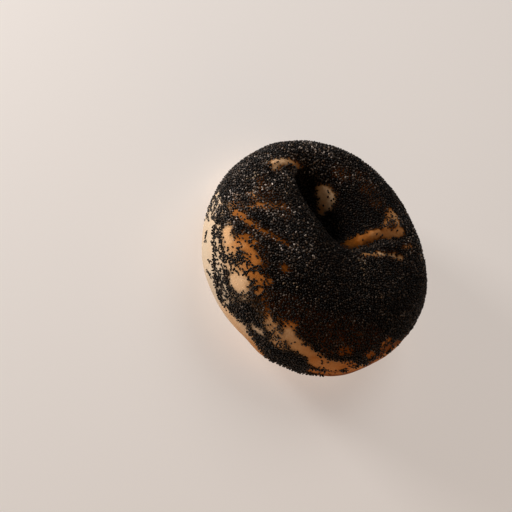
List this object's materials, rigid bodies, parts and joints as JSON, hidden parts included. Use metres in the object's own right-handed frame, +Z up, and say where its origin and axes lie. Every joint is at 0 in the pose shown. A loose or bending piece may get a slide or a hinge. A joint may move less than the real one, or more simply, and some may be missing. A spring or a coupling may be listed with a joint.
{
  "type": "poppy seed bagel",
  "caption": "Baked bread ring with a small off-centre hole, a flat pale underside and a crust coated with poppy seeds.",
  "frame": {"origin": "middle of the outline seen from above, on the plane the flat underside rests on", "axes": "+Z up out of the crown; +X from the hole towards the wide side of the ring; the fat roll is at -Y"},
  "size_m": [0.108, 0.1059, 0.0459],
  "materials": {
    "crust": null,
    "poppy_seed": null
  },
  "bodies": {
    "root": {"bagel": "crust"}
  },
  "joints": []
}
